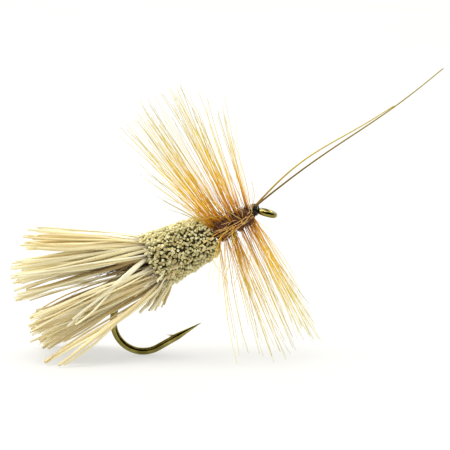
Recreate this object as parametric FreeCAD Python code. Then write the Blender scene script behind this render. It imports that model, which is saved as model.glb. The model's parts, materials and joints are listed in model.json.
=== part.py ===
"""A deer-hair caddis dry fly, tied on a barbed down-eye hook.

Units are millimetres. +Z is up, +X runs from the tail to the antennae, and the hook lies in the
plane Y = 0. The fly stands on z = 0, on its bend, tail tips and hackle tips, with the origin in
the middle of its footprint. Places along the shank are distances behind the eye, and angles
about the shank start at its upper side.
"""
import FreeCAD, Part
import math
import os

V = FreeCAD.Vector

# Hook
WIRE_R = 0.30
SHANK_TILT = 30.0  # degrees that the shank rises towards the eye
SHANK_LENGTH = 11.73
UPPER_BEND_R = 4.48
UPPER_BEND_TURN = 60.0
LOWER_BEND_R = 2.57
LOWER_BEND_TURN = 120.0
SPEAR_LENGTH = 1.95  # full wire, from the bend to the taper
POINT_LENGTH = 2.35
POINT_TIP_R = 0.015
BARB_BEHIND_POINT = 3.13
BARB_LENGTH = 0.75
BARB_RISE = 0.30
BARB_HALF_WIDTH = 0.10
BARB_FOOT = 0.6 * WIRE_R  # height of the barb's foot inside the wire
BARB_FOOT_SHARE = 0.4  # of the barb's length
EYE_WIRE_R = 0.26
EYE_RING_R = 0.665  # to the middle of the ring's wire
EYE_BORE_R = 0.44
EYE_DROOP = -16.0  # degrees, the ring below horizontal
EYE_REACH = 0.23  # from the shank's end to the middle of the ring's nearest wire
EYE_NECK = (0.65, 0.20)  # the wire thins between these places and bends down at the second
EYE_END_X = 2.56  # centres the fly's length on X = 0

# Thread
THREAD_BASE_R = 0.35
THREAD_BASE = (0.50, 10.85)
THREAD_BAND_R = 0.46
THREAD_BAND_WIDTH = 0.36

# Clipped body of spun hair, clipped closer below the shank than above it
BODY = (4.34, 10.30)
BODY_LIFT = (0.10, 0.62)  # the body's own axis above the shank, front and rear
BODY_R = (1.88, 2.56)
BODY_EDGE = 0.05  # each bunch is this much rounder at its middle
BUNCHES = 5

# Fan of uncut hair behind the body
TAIL_HAIRS = 84
TAIL_GAP = 0.06  # from the body's rear face
TAIL_MIDDLE = 0.10  # middle of the fan's root, above the body's axis
TAIL_HALF_HEIGHT = 2.05
TAIL_HALF_WIDTH = 2.25
TAIL_RISE = (-37.0, 6.0)  # degrees from horizontal, lowest and highest hairs
TAIL_SPREAD = 21.0  # degrees to each side
TAIL_LENGTH = (8.9, 11.07)
TAIL_RIPPLE = (7.0, 5.0)  # how fast the lengths vary with height and with width
TAIL_ROOT_R = 0.085
TAIL_END_R = 0.125
TAIL_WIRE_ROOM = 0.60  # clear half-width round the wire of the bend
TAIL_MIDLINE = 0.12  # hairs keep this share of the half-width clear of the middle
TAIL_TIERS = ("bottom", "lower", "middle", "upper", "top")
TAIL_BAND = (10.42, THREAD_BASE[1])
TAIL_BAND_R = 0.44
TAIL_BAND_TURNS = 4

# Thorax and hackle
THORAX = (0.58, 4.18)
THORAX_FRONT_R = 0.44
THORAX_REAR_R = 0.66
STEMS = {"front": (0.60, 2.40), "rear": (2.44, 4.14)}
STEM_TURNS = 5
STEM_FOOT = 0.10  # a stem's valleys stand this far above the thorax
STEM_CROWN = 0.12
BARB_PAIRS = 30  # hackle fibres of one feather, left and right
BARB_ROOT_R = 0.05
BARB_TIP_R = 0.025
BARB_REACH_UP = 12.2
BARB_REACH_DOWN = 11.6
LEAN_ABOVE = {"front": (16.0, 2.0), "rear": (1.0, -7.0)}  # degrees forward, first and last turn
LEAN_BELOW = {"front": (1.0, -6.0), "rear": (-7.0, -15.0)}
BARB_MARGIN = 3.0  # degrees kept clear straight above and below the shank
BARB_PHASE = 0.13  # of a full scatter, for the first pair
GOLDEN = (math.sqrt(5) - 1) / 2

# Head: wound on the wire where it bends down to the eye, so its axis lies between the two
HEAD_TILT = 8.0  # degrees that the head's axis rises
HEAD_SEAT = (0.10, 0.09)  # its middle: distance behind the eye, and height above the shank
HEAD = (-0.18, 0.30)  # front and rear, from its middle
HEAD_R = (0.42, 0.50)
HEAD_BELLY = 0.06
HEAD_TURNS = 6
WHIP = (-0.33, -0.20)
WHIP_R = (0.38, 0.41)
WHIP_TURNS = 2
TURN_CROWN = 0.02  # how far a turn of thread stands above its edges
LACQUER = 0.03

# Antennae
ANTENNA_ROOT = (-0.20, 0.33)  # distance behind the eye, and offset to its side
ANTENNA_ROOT_HEIGHT = 0.42
ANTENNA_R = (0.085, 0.055)
ANTENNA_STATIONS = 16
ANTENNA_SPREAD = 20.0  # degrees from the middle plane to the chord
ANTENNA_BOW = 1.2  # how far each curves in towards the other from its chord
ANTENNA_PIVOT = 0.15  # share of the length that stays still
ANTENNA_GAP = 0.06
ANTENNA_STEP = 0.01  # share of the length over which its direction is measured
ANTENNAE = {
    "left": {"side": 1, "length": 15.0, "rise": 32.3, "arch": 1.02, "sway": 0.21},
    "right": {"side": -1, "length": 21.03, "rise": 36.65, "arch": 0.09, "sway": 0.16},
}


def heading(degrees):
    """A unit vector in the hook's plane, this many degrees above +X."""
    angle = math.radians(degrees)
    return V(math.cos(angle), 0, math.sin(angle))


SHANK = heading(SHANK_TILT)
SHANK_UP = heading(SHANK_TILT + 90)
SIDE = V(0, 1, 0)


def arc_from(start, course, radius, turn):
    """The middle and the end of an arc that leaves start on a course and turns left."""
    centre = start + heading(course + 90) * radius
    middle = centre - heading(course + turn / 2 + 90) * radius
    end = centre - heading(course + turn + 90) * radius
    return middle, end


def bend_drop():
    """How far the bend's lowest wire lies below the eye end of the shank."""
    course = SHANK_TILT + 180
    start = -SHANK * SHANK_LENGTH
    bend_start = arc_from(start, course, UPPER_BEND_R, UPPER_BEND_TURN)[1]
    lowest_turn = 360 - course - UPPER_BEND_TURN
    lowest = arc_from(bend_start, course + UPPER_BEND_TURN, LOWER_BEND_R, lowest_turn)[1]
    return -lowest.z + WIRE_R


EYE_END = V(EYE_END_X, 0, bend_drop())
SHANK_LINE = (EYE_END, SHANK, SHANK_UP)


def on_line(axis, behind, radius, angle=0.0):
    """A point by its distance behind an axis's start, its distance from it and its angle about it."""
    start, forward, up = axis
    turn = math.radians(angle)
    return start - forward * behind + (up * math.cos(turn) + SIDE * math.sin(turn)) * radius


def on_shank(behind, radius, angle=0.0):
    return on_line(SHANK_LINE, behind, radius, angle)


def body_line():
    """The clipped body's own axis, which starts at its front face, and its length."""
    front = on_shank(BODY[0], BODY_LIFT[0])
    rear = on_shank(BODY[1], BODY_LIFT[1])
    forward = (front - rear).normalize()
    return (front, forward, forward.cross(SIDE)), (front - rear).Length


BODY_LINE, BODY_LENGTH = body_line()
HEAD_LINE = (on_shank(*HEAD_SEAT), heading(HEAD_TILT), heading(HEAD_TILT + 90))


def line(start, end):
    return Part.LineSegment(start, end).toShape()


def mix(pair, share):
    return pair[0] + (pair[1] - pair[0]) * share


def outline_edges(axis, outline, crown):
    """Edges through (distance behind, radius) points, with each stretch swollen by crown."""
    edges = []
    for (s0, r0), (s1, r1) in zip(outline, outline[1:]):
        start = on_line(axis, s0, r0)
        end = on_line(axis, s1, r1)
        if crown:
            crest = on_line(axis, (s0 + s1) / 2, (r0 + r1) / 2 + crown)
            edges.append(Part.Arc(start, crest, end).toShape())
        else:
            edges.append(line(start, end))
    return edges


def turned(inner, outer, crown=0.0, inner_crown=0.0, axis=SHANK_LINE):
    """A ring about an axis between two outlines, which both run from front to rear."""
    edges = outline_edges(axis, inner, inner_crown) + outline_edges(axis, outer, crown)
    edges.append(line(on_line(axis, *inner[0]), on_line(axis, *outer[0])))
    edges.append(line(on_line(axis, *inner[-1]), on_line(axis, *outer[-1])))
    face = Part.Face(Part.Wire(Part.__sortEdges__(edges)))
    return face.revolve(axis[0], axis[1], 360)


def round_core(outer, crown=0.0, axis=SHANK_LINE):
    """A solid of revolution that fills its outline down to the axis."""
    inner = [(outer[0][0], 0), (outer[-1][0], 0)]
    return turned(inner, outer, crown, 0.0, axis)


def hugging(solid, wound_on):
    """The solid with room cut for what it is wound on."""
    pieces = solid.cut(wound_on).Solids
    return max(pieces, key=lambda piece: piece.Volume)


def wound_outline(ends, radii, turns, belly=0.0):
    """The edges of touching turns of thread, as (distance behind, radius) points."""
    outline = []
    for turn in range(turns + 1):
        share = turn / turns
        outline.append((mix(ends, share), mix(radii, share) + 4 * belly * share * (1 - share)))
    return outline


def hook_wire():
    """Shank, two-radius bend and spear, as one round wire, with a thinned neck and a point."""
    course = SHANK_TILT + 180
    neck_end = on_shank(EYE_NECK[0], 0)
    shank_end = on_shank(SHANK_LENGTH, 0)
    upper_middle, upper_end = arc_from(shank_end, course, UPPER_BEND_R, UPPER_BEND_TURN)
    course += UPPER_BEND_TURN
    lower_middle, lower_end = arc_from(upper_end, course, LOWER_BEND_R, LOWER_BEND_TURN)
    course += LOWER_BEND_TURN
    spear = heading(course)
    taper_start = lower_end + spear * SPEAR_LENGTH
    path = Part.Wire(
        [
            line(neck_end, shank_end),
            Part.Arc(shank_end, upper_middle, upper_end).toShape(),
            Part.Arc(upper_end, lower_middle, lower_end).toShape(),
            line(lower_end, taper_start),
        ]
    )
    section = Part.Wire(Part.makeCircle(WIRE_R, neck_end, SHANK))
    wire = path.makePipeShell([section], True, True)
    neck = Part.makeCone(WIRE_R, EYE_WIRE_R, EYE_NECK[0] - EYE_NECK[1], neck_end, SHANK)
    point = Part.makeCone(WIRE_R, POINT_TIP_R, POINT_LENGTH, taper_start, spear)
    point_tip = taper_start + spear * POINT_LENGTH
    return wire, neck, point, barb(point_tip, spear, heading(course + 90))


def barb(point_tip, spear, inward):
    """The sliver raised from the spear's inner side, pointing back at the bend."""
    tip = point_tip - spear * BARB_BEHIND_POINT + inward * (WIRE_R + BARB_RISE)
    root_front = point_tip - spear * (BARB_BEHIND_POINT - BARB_LENGTH) + inward * BARB_FOOT
    root_back = root_front - spear * (BARB_FOOT_SHARE * BARB_LENGTH)
    corners = [corner - SIDE * BARB_HALF_WIDTH for corner in (tip, root_front, root_back)]
    outline = Part.makePolygon(corners + corners[:1])
    return Part.Face(outline).extrude(SIDE * (2 * BARB_HALF_WIDTH))


def eye_centre():
    return EYE_END + heading(EYE_DROOP) * (EYE_REACH + EYE_RING_R)


def eye_link():
    """The thinned wire's knee, and its short run down to the ring."""
    knee = on_shank(EYE_NECK[1], 0)
    run = EYE_END + heading(EYE_DROOP) * EYE_REACH - knee
    return [
        Part.makeSphere(EYE_WIRE_R, knee),
        Part.makeCylinder(EYE_WIRE_R, run.Length, knee, run),
    ]


def hook():
    wire, neck, point, raised_barb = hook_wire()
    across = heading(EYE_DROOP + 90)
    ring = Part.makeTorus(EYE_RING_R, EYE_WIRE_R, eye_centre(), across)
    reach = 3 * EYE_WIRE_R
    bore = Part.makeCylinder(EYE_BORE_R, 2 * reach, eye_centre() - across * reach, across)
    whole = wire.fuse([neck, ring, point, raised_barb] + eye_link()).cut(bore)
    return [whole.removeSplitter().Solids[0]]


def thread_base():
    """The layer of thread that grips the shank under everything else."""
    start, end = THREAD_BASE
    inner = [(start, WIRE_R), (end, WIRE_R)]
    outer = [(start, THREAD_BASE_R), (end, THREAD_BASE_R)]
    return [turned(inner, outer)]


def bunch_limits(index):
    """Front and rear of a bunch, along the body's own axis."""
    step = BODY_LENGTH / BUNCHES
    return index * step, (index + 1) * step


def body_thread_bands():
    """The wraps that flared each bunch, in its middle."""
    bands = []
    for index in range(BUNCHES):
        middle = mix(BODY, (index + 0.5) / BUNCHES)
        start = middle - THREAD_BAND_WIDTH / 2
        end = middle + THREAD_BAND_WIDTH / 2
        inner = [(start, THREAD_BASE_R), (end, THREAD_BASE_R)]
        outer = [(start, THREAD_BAND_R), (end, THREAD_BAND_R)]
        bands.append(turned(inner, outer))
    return bands


def body_bunch(index, wound_on):
    """One bunch of hair, flared round the shank and clipped, with a groove for its thread."""
    start, end = bunch_limits(index)
    outer = [
        (start, mix(BODY_R, index / BUNCHES)),
        (end, mix(BODY_R, (index + 1) / BUNCHES)),
    ]
    return [hugging(round_core(outer, BODY_EDGE, BODY_LINE), wound_on)]


def tail_thread_band():
    """The wraps just behind the body, which hold the fan of hair."""
    inner = [(place, THREAD_BASE_R) for place in TAIL_BAND]
    outer = wound_outline(TAIL_BAND, (TAIL_BAND_R, TAIL_BAND_R), TAIL_BAND_TURNS)
    return [turned(inner, outer, TURN_CROWN)]


def above_floor(start, direction, length, end_r):
    """The length that a fibre may have before its end meets z = 0."""
    if direction.z >= 0:
        return length
    return min(length, (start.z - end_r) / -direction.z)


def tail_roots():
    """Where the fan's hairs leave the body, as (height, sideways) shares, in mirrored pairs."""
    roots = []
    for index in range(TAIL_HAIRS):
        reach = math.sqrt((index + 0.5) / TAIL_HAIRS)
        angle = 2 * math.pi * GOLDEN * index
        up = reach * math.cos(angle)
        across = reach * math.sin(angle)
        height = BODY_LIFT[1] + TAIL_MIDDLE + TAIL_HALF_HEIGHT * up
        clear_of_wire = across * TAIL_HALF_WIDTH > TAIL_WIRE_ROOM
        if clear_of_wire or (TAIL_MIDLINE < across and height > 2 * TAIL_WIRE_ROOM):
            roots += [(up, across), (up, -across)]
    return roots


def tail_hair(up, across):
    """One hair of the fan, from the body's rear face to its cut end."""
    root = on_line(BODY_LINE, BODY_LENGTH + TAIL_GAP, TAIL_MIDDLE + TAIL_HALF_HEIGHT * up)
    root += SIDE * (TAIL_HALF_WIDTH * across)
    rise = mix(TAIL_RISE, (up + 1) / 2)
    spread = math.radians(TAIL_SPREAD * across)
    direction = -heading(-rise) * math.cos(spread) + SIDE * math.sin(spread)
    ripple = (1 + math.cos(TAIL_RIPPLE[0] * up + TAIL_RIPPLE[1] * abs(across))) / 2
    wanted = mix(TAIL_LENGTH, ripple)
    length = above_floor(root, direction, wanted, TAIL_END_R)
    return Part.makeCone(TAIL_ROOT_R, TAIL_END_R, length, root, direction)


def tail_tier(tier):
    """The hairs of one height of the fan."""
    tiers = len(TAIL_TIERS)
    hairs = []
    for up, across in tail_roots():
        own = min(int((up + 1) / 2 * tiers), tiers - 1)
        if own == tier:
            hairs.append(tail_hair(up, across))
    return hairs


def thorax_radius(behind):
    share = (behind - THORAX[0]) / (THORAX[1] - THORAX[0])
    return mix((THORAX_FRONT_R, THORAX_REAR_R), share)


def thorax():
    """The tapered underbody that the hackle feathers are wound on."""
    start, end = THORAX
    inner = [(start, THREAD_BASE_R), (end, THREAD_BASE_R)]
    outer = [(start, THORAX_FRONT_R), (end, THORAX_REAR_R)]
    return [turned(inner, outer)]


def stem(feather):
    """A feather's stem, wound in touching turns."""
    start, end = STEMS[feather]
    inner = [(start, thorax_radius(start)), (end, thorax_radius(end))]
    places = [mix((start, end), turn / STEM_TURNS) for turn in range(STEM_TURNS + 1)]
    outer = [(place, thorax_radius(place) + STEM_FOOT) for place in places]
    return [turned(inner, outer, STEM_CROWN)]


def hackle_barb(feather, share, angle):
    """One fibre, standing out from the crest of its turn and ending in a fine tip."""
    turn = min(int(share * STEM_TURNS), STEM_TURNS - 1)
    place = mix(STEMS[feather], (turn + 0.5) / STEM_TURNS)
    root = on_shank(place, thorax_radius(place) + STEM_FOOT + STEM_CROWN, angle)
    out = (root - on_shank(place, 0)).normalize()
    upward = (1 + math.cos(math.radians(angle))) / 2
    leans = (mix(LEAN_BELOW[feather], share), mix(LEAN_ABOVE[feather], share))
    lean = math.radians(mix(leans, upward))
    direction = out * math.cos(lean) + SHANK * math.sin(lean)
    wanted = mix((BARB_REACH_DOWN, BARB_REACH_UP), upward)
    length = above_floor(root, direction, wanted, BARB_TIP_R)
    return Part.makeCone(BARB_ROOT_R, BARB_TIP_R, length, root, direction)


def hackle_barbs(feather):
    """A feather's fibres, all round the shank in mirrored pairs."""
    fibres = []
    for pair in range(BARB_PAIRS):
        share = (pair + 0.5) / BARB_PAIRS
        angle = mix((BARB_MARGIN, 180 - BARB_MARGIN), (pair * GOLDEN + BARB_PHASE) % 1)
        fibres.append(hackle_barb(feather, share, angle))
        fibres.append(hackle_barb(feather, share, -angle))
    return fibres


def whip_finish(wound_on):
    """The last turns of thread, drawn tight against the eye."""
    outer = wound_outline(WHIP, WHIP_R, WHIP_TURNS)
    return [hugging(round_core(outer, TURN_CROWN, HEAD_LINE), wound_on)]


def head_outline(extra=0.0):
    radii = [radius + extra for radius in HEAD_R]
    return wound_outline(HEAD, radii, HEAD_TURNS, HEAD_BELLY)


def thread_head(wound_on):
    """The barrel of thread turns that ties everything down."""
    return [hugging(round_core(head_outline(), TURN_CROWN, HEAD_LINE), wound_on)]


def head_lacquer():
    """The varnish over the head, as a thin skin on its turns."""
    return [turned(head_outline(), head_outline(LACQUER), TURN_CROWN, TURN_CROWN, HEAD_LINE)]


def antenna_line(side):
    """The root of one antenna's straight chord, its direction, upward normal and own side."""
    shape = ANTENNAE[side]
    behind, offset = ANTENNA_ROOT
    root = on_shank(behind, ANTENNA_ROOT_HEIGHT) + SIDE * (offset * shape["side"])
    spread = math.radians(ANTENNA_SPREAD) * shape["side"]
    rise = math.radians(shape["rise"])
    level = V(math.cos(spread), math.sin(spread), 0)
    direction = level * math.cos(rise) + V(0, 0, math.sin(rise))
    normal = V(0, 0, math.cos(rise)) - level * math.sin(rise)
    outward = V(-math.sin(spread), math.cos(spread), 0) * shape["side"]
    return root, direction, normal, outward


def antenna_point(side, share):
    """A point of the quill, which arches above its chord, bows inwards and sways."""
    shape = ANTENNAE[side]
    root, direction, normal, outward = antenna_line(side)
    turn = math.pi * share
    above = shape["arch"] * math.sin(turn) + shape["sway"] * math.sin(2 * turn)
    inward = ANTENNA_BOW * math.sin(turn)
    return root + direction * (shape["length"] * share) + normal * above - outward * inward


def round_section(centre, along, radius):
    """A circle across a path, always started at its level side so that sections line up."""
    level = along.cross(V(0, 0, 1)).normalize() * radius
    steep = level.cross(along).normalize() * radius
    upper = Part.Arc(centre + level, centre + steep, centre - level)
    lower = Part.Arc(centre - level, centre - steep, centre + level)
    return Part.Wire([upper.toShape(), lower.toShape()])


def antenna_piece(side, start, end):
    """The tapered quill between two shares of its length."""
    stations = max(3, round(ANTENNA_STATIONS * (end - start)) + 1)
    sections = []
    for index in range(stations):
        share = mix((start, end), index / (stations - 1))
        near = antenna_point(side, share - ANTENNA_STEP)
        far = antenna_point(side, share + ANTENNA_STEP)
        radius = mix(ANTENNA_R, share)
        sections.append(round_section(antenna_point(side, share), far - near, radius))
    return [Part.makeLoft(sections, True, True)]


def antenna_base(side):
    """The first stretch of the quill, held still by the head."""
    return antenna_piece(side, 0.0, ANTENNA_PIVOT - ANTENNA_GAP / ANTENNAE[side]["length"])


def antenna_tip(side):
    """The rest of the quill, which springs about the pivot."""
    return antenna_piece(side, ANTENNA_PIVOT + ANTENNA_GAP / ANTENNAE[side]["length"], 1.0)


def all_nodes():
    """Every sub-part's solids by its name."""
    nodes = {
        "hook": hook(),
        "thread_base": thread_base(),
        "body_thread_bands": body_thread_bands(),
        "tail_thread_band": tail_thread_band(),
        "thorax_underbody": thorax(),
    }
    wound_on = nodes["hook"] + nodes["thread_base"]
    nodes["thread_head"] = thread_head(wound_on)
    nodes["whip_finish"] = whip_finish(wound_on)
    nodes["head_lacquer"] = head_lacquer()
    wound_on = wound_on + nodes["body_thread_bands"]
    for index in range(BUNCHES):
        nodes[f"body_bunch_{index + 1}"] = body_bunch(index, wound_on)
    for tier, name in enumerate(TAIL_TIERS):
        nodes[f"tail_hair_{name}"] = tail_tier(tier)
    for feather in STEMS:
        nodes[f"hackle_stem_{feather}"] = stem(feather)
        nodes[f"hackle_barbs_{feather}"] = hackle_barbs(feather)
    for side in ANTENNAE:
        nodes[f"antenna_{side}_base"] = antenna_base(side)
        nodes[f"antenna_{side}_tip"] = antenna_tip(side)
    return nodes


def show(name, point):
    print(f"{name}: {point.x:.4f} {point.y:.4f} {point.z:.4f}")


def main():
    os.makedirs("parts", exist_ok=True)
    nodes = all_nodes()
    box = FreeCAD.BoundBox()
    for name, solids in nodes.items():
        shape = Part.makeCompound(solids)
        box.add(shape.optimalBoundingBox())
        valid = all(solid.isValid() and solid.ShapeType == "Solid" for solid in solids)
        print(f"{name}: {len(solids)} solids, {shape.Volume:.3f} mm3, valid {valid}")
        shape.exportStep(f"parts/{name}.step")
    print(f"box: {box}")
    show("eye centre", eye_centre())
    show("eye axis", heading(EYE_DROOP + 90))
    for side in ANTENNAE:
        _, direction, normal, _ = antenna_line(side)
        show(f"antenna {side} pivot", antenna_point(side, ANTENNA_PIVOT))
        show(f"antenna {side} hinge axis", direction.cross(normal))


main()
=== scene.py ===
"""The looks of a deer-hair caddis dry fly, built round its CAD frame.

Lengths are in metres, except where a comment says mm. Places along the shank are distances behind
the eye end of the shank, and angles about the shank start at its upper side, in degrees, with -90
on the camera's side.
"""
import json
import math
import random

import bpy
import numpy as np
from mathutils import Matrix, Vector


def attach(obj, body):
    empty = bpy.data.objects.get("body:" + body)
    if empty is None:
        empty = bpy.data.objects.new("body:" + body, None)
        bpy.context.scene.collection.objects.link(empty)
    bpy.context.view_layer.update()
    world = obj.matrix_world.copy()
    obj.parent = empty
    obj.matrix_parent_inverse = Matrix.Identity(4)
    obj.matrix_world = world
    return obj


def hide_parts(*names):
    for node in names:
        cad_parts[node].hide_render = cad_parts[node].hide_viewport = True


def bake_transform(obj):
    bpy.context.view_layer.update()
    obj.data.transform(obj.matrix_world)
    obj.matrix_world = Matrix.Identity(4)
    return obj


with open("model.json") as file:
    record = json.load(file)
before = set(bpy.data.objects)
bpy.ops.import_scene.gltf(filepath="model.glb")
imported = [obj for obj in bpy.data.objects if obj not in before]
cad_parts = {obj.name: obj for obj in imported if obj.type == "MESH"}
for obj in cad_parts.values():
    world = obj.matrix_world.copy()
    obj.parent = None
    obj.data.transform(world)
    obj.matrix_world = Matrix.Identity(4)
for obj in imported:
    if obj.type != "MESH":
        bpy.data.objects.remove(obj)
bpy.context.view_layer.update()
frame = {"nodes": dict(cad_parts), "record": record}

MM = 0.001

# The camera
CAMERA_ELEVATION = 8.0  # degrees above the horizon
CAMERA_LENS = 600.0  # mm
CAMERA_SENSOR = 36.0  # mm
VIEW_WIDTH = 38.8 * MM  # what the picture takes in at the hook's plane
VIEW_CENTRE = Vector((-0.20, 0.0, 11.315)) * MM

# The studio
FLOOR_GLOW = 0.53
FLOOR_REACH = 1.5
ROOM_LIGHT = 1.04
KEY_PLACE = (-0.12, 0.06, 0.36)
KEY_SIZE = 0.45
KEY_POWER = 2.2  # watts
FLAG_STEPS = 12
FLAG_REACH = 0.25
FLAG_RISE = (3.0, 82.0)  # degrees above the horizon
FLAG_TURN = (-80.0, 95.0)  # degrees to the right of the camera

# The hook's line, from the eye mount
SHANK_TILT = math.radians(30.0)
EYE_RING_R = 0.665 * MM
EYE_REACH = 0.23 * MM  # from the shank's end to the ring
MOUNTS = {mount["name"]: mount for mount in frame["record"]["mounts"]}
EYE_CENTRE = np.array(MOUNTS["hook_eye"]["pos_m"])
EYE_AXIS = np.array(MOUNTS["hook_eye"]["axis"])
EYE_END = EYE_CENTRE - (EYE_REACH + EYE_RING_R) * np.array((EYE_AXIS[2], 0.0, -EYE_AXIS[0]))
SHANK = np.array((math.cos(SHANK_TILT), 0.0, math.sin(SHANK_TILT)))
SHANK_UP = np.array((-math.sin(SHANK_TILT), 0.0, math.cos(SHANK_TILT)))
SIDE = np.array((0.0, 1.0, 0.0))
FLOOR_ROOM = 0.04 * MM  # hair ends stay this far above the floor

# The body's and the head's own axes: distances behind the eye, and heights above the shank
BODY_AXIS_FRONT = (4.34 * MM, 0.10 * MM)
BODY_AXIS_REAR = (10.30 * MM, 0.62 * MM)
HEAD_SEAT = (0.10 * MM, 0.09 * MM)
HEAD_TILT = math.radians(8.0)

# Hair, as drawn tubes
CUT_END = ((0.84, 0.16), (0.50, -0.30))  # rings past a cut end: share of radius, step in radii
PLAIN_END = ((0.6, 0.5),)
SHARP_EDGE = 50.0  # degrees between faces that don't shade as one
HAIR_CORNERS = 9  # of a tube's section
FIBRE_CORNERS = 6
FUR_CORNERS = 5
STEM_CORNERS = 8
THREAD_CORNERS = 7
TRAPPED_CORNERS = 7
QUILL_CORNERS = 10

# Clipped body
STUBS_PER_BUNCH = (240, 270, 305, 340, 370)
STUB_R = 0.118 * MM
STUB_DEPTH = 0.80 * MM
STUB_JITTER = 0.07 * MM
STUB_LEAN = (-8, 24)  # degrees back towards the rear, at the body's front and at its rear
STUB_LEAN_UNDER = 38  # degrees more, underneath at the rear
STUB_TURN = 137.508  # degrees from one to the next, which spreads them evenly
SHOULDER = 0.34 * MM  # how far the body's front edge is rounded off
SHOULDER_SHARE = 0.15  # of the body's length
CORE_DEPTH = 0.42 * MM
CORE_END_R = 0.30 * MM
CORE_CORNERS = 48

# Uncut hair
HAIR_R = 0.14 * MM
HAIR_RINGS = 18
RIM_ABOVE = 26  # short ones left standing round the body's rear
RIM_BELOW = 70
TUFT_ANGLES = (158, 163, 167, 171, 176, 180, 186, 192, 200, 207)  # of the longest ones, underneath
WISPS = 14  # fine dark underfur astray among the hairs
WISP_RINGS = 16

# Hackle
BARB_GROUPS = 41  # of one feather
BARBS_PER_GROUP = (2, 5)
BARB_R = 0.034 * MM
BARB_TIP_R = 0.018 * MM
BARB_RINGS = 14
BARB_ROOT_DEPTH = 0.08 * MM
BARB_LENGTHS = (1.0, 0.96, 0.92, 0.87, 0.80)  # shares of the reach; some are shorter still
FRONT_SHORTER = 0.16  # share that the foremost fibres lack above
SIDE_CROWD = 0.10  # fibres at the shank's sides, for each one above or below it
STRAY_BARBS = 7
COLLAR = 0.15 * MM  # the foremost fibres start this far in front of the wound stem
BARB_REACH_UP = 12.6 * MM
BARB_REACH_DOWN = 12.2 * MM
LEAN_ABOVE = {"front": (15.0, 3.0), "rear": (1.0, -10.0)}  # degrees forward, first and last turn
LEAN_BELOW = {"front": (-0.5, -6.5), "rear": (-7.0, -19.0)}
STEM_R = 0.17 * MM
STEM_TURNS = 5
STEM_LAYER = 0.14 * MM  # from the outer turns down to the inner ones
STEM_SEEDS = {"front": 5, "rear": 4}
STEM_STUBS = 150  # of one feather: the short butts of its fibres

# Thorax
FUR_START = 0.43 * MM  # behind the eye: the dark fur closes up to the head
FUR_END_R = 0.34 * MM
SKIN_CORNERS = 40
FUR_HAIRS = 170
FUR_RINGS = 7
TRAPPED_RINGS = 16
# Each fibre caught across it: how far behind the eye it starts and ends in mm, and the angles there
TRAPPED_FIBRES = (
    (0.47, 4.9, 118, 96),
    (0.47, 4.8, 100, 74),
    (0.50, 5.1, 128, 118),
    (0.50, 3.9, 84, 132),
    (0.55, 2.4, 60, 112),
    (0.60, 3.2, 128, 62),
    (0.9, 4.9, 126, 84),
    (1.2, 4.4, 128, 66),
    (1.5, 3.4, 62, 128),
    (2.2, 4.6, 130, 92),
    (1.8, 4.8, 60, 84),
)

# Antennae, as the CAD model has them: lengths, arch and sway in mm, and rise in degrees
ANTENNA_ROOT = (-0.20 * MM, 0.42 * MM, 0.33 * MM)  # behind the eye, above the shank, to the side
ANTENNA_RADII = (0.085 * MM, 0.048 * MM)
ANTENNA_RINGS = 64
ANTENNA_SUNK = 0.02  # share of the length added at the root, inside the head
ANTENNAE = {
    "left": {"side": 1, "length": 15.0, "rise": 32.3, "arch": 1.02, "sway": 0.21},
    "right": {"side": -1, "length": 21.03, "rise": 36.65, "arch": 0.09, "sway": 0.16},
}
ANTENNA_SPREAD = 20.0  # degrees to its own side
ANTENNA_BOW = 1.2  # mm: how far it curves in towards the other from its chord

# Thread
THREAD_R = 0.045 * MM
HEAD_BELLY = 0.06 * MM


def mix(low, high, share):
    return low + (high - low) * share


def unit(vector):
    return vector / np.linalg.norm(vector)


def scatter(spread, rng):
    """A random step with this standard deviation along each axis."""
    return np.array([rng.gauss(0, spread) for _ in range(3)])


def outward(angle, up=SHANK_UP):
    """The direction out of the shank, or of another axis, at an angle about it."""
    turn = math.radians(angle)
    return up * math.cos(turn) + SIDE * math.sin(turn)


def on_line(axis, behind, radius, angle=0.0):
    """A point by its distance behind an axis's start, its distance from it and its angle about it."""
    start, forward, up = axis
    return start - forward * behind + outward(angle, up) * radius


SHANK_LINE = (EYE_END, SHANK, SHANK_UP)


def on_shank(behind, radius, angle=0.0):
    return on_line(SHANK_LINE, behind, radius, angle)


def body_line():
    """The clipped body's axis, from its front face."""
    front = on_shank(*BODY_AXIS_FRONT)
    forward = unit(front - on_shank(*BODY_AXIS_REAR))
    return front, forward, np.cross(forward, SIDE)


def head_line():
    """The axis that the head is wound about, where the wire bends down to the eye."""
    forward = np.array((math.cos(HEAD_TILT), 0.0, math.sin(HEAD_TILT)))
    return on_shank(*HEAD_SEAT), forward, np.cross(forward, SIDE)


BODY_LINE = body_line()
HEAD_LINE = head_line()


def profile(node, axis=SHANK_LINE):
    """Where a CAD ring about an axis starts and ends, and its outer radius there."""
    start, forward, _ = axis
    corners = np.array([vertex.co for vertex in frame["nodes"][node].data.vertices], float)
    behind = (start - corners) @ forward
    radius = np.linalg.norm(corners - start + behind[:, None] * forward, axis=1)
    near = behind < behind.min() + 0.02 * MM
    far = behind > behind.max() - 0.02 * MM
    return behind.min(), behind.max(), radius[near].max(), radius[far].max()


# ---------------------------------------- strands


def strand(points, radii, tint, flatness=1.0, roll=0.0, end=PLAIN_END, reference=None):
    """One closed tube along points. flatness squeezes its section, and tint picks its colour."""
    return {
        "points": np.array(points, float),
        "radii": np.array(radii, float),
        "tint": tint,
        "flatness": flatness,
        "roll": roll,
        "end": end,
        "reference": reference,
    }


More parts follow.
